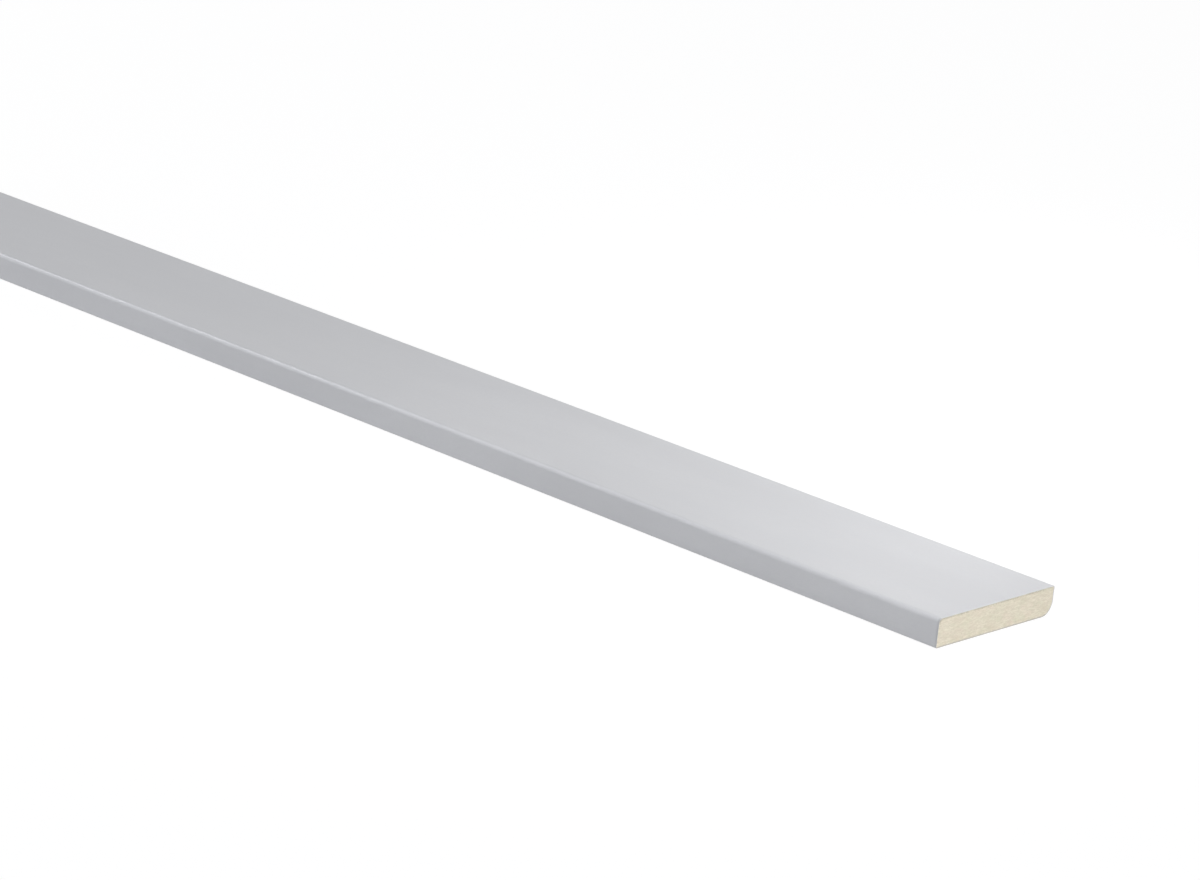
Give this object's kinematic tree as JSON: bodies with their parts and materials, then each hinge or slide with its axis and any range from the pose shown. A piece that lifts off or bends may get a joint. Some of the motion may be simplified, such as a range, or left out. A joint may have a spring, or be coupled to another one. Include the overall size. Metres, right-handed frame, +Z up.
{
  "type": "architrave moulding",
  "caption": "Flat primed fibreboard architrave with a softly rounded face edge, a deeper round along the rear edge, a flat back and square-cut ends.",
  "frame": {"origin": "middle of the flat back, on the surface that the moulding lies on", "axes": "+X along the length, +Y across the width from the front edge to the rear edge, +Z up out of the face"},
  "size_m": [2.44, 0.07, 0.012],
  "materials": {
    "primed_fibreboard": "white satin primer coat on all long sides, bare cream fibreboard on the two cut ends"
  },
  "bodies": {
    "root": {"architrave_moulding": "primed_fibreboard"}
  },
  "joints": []
}
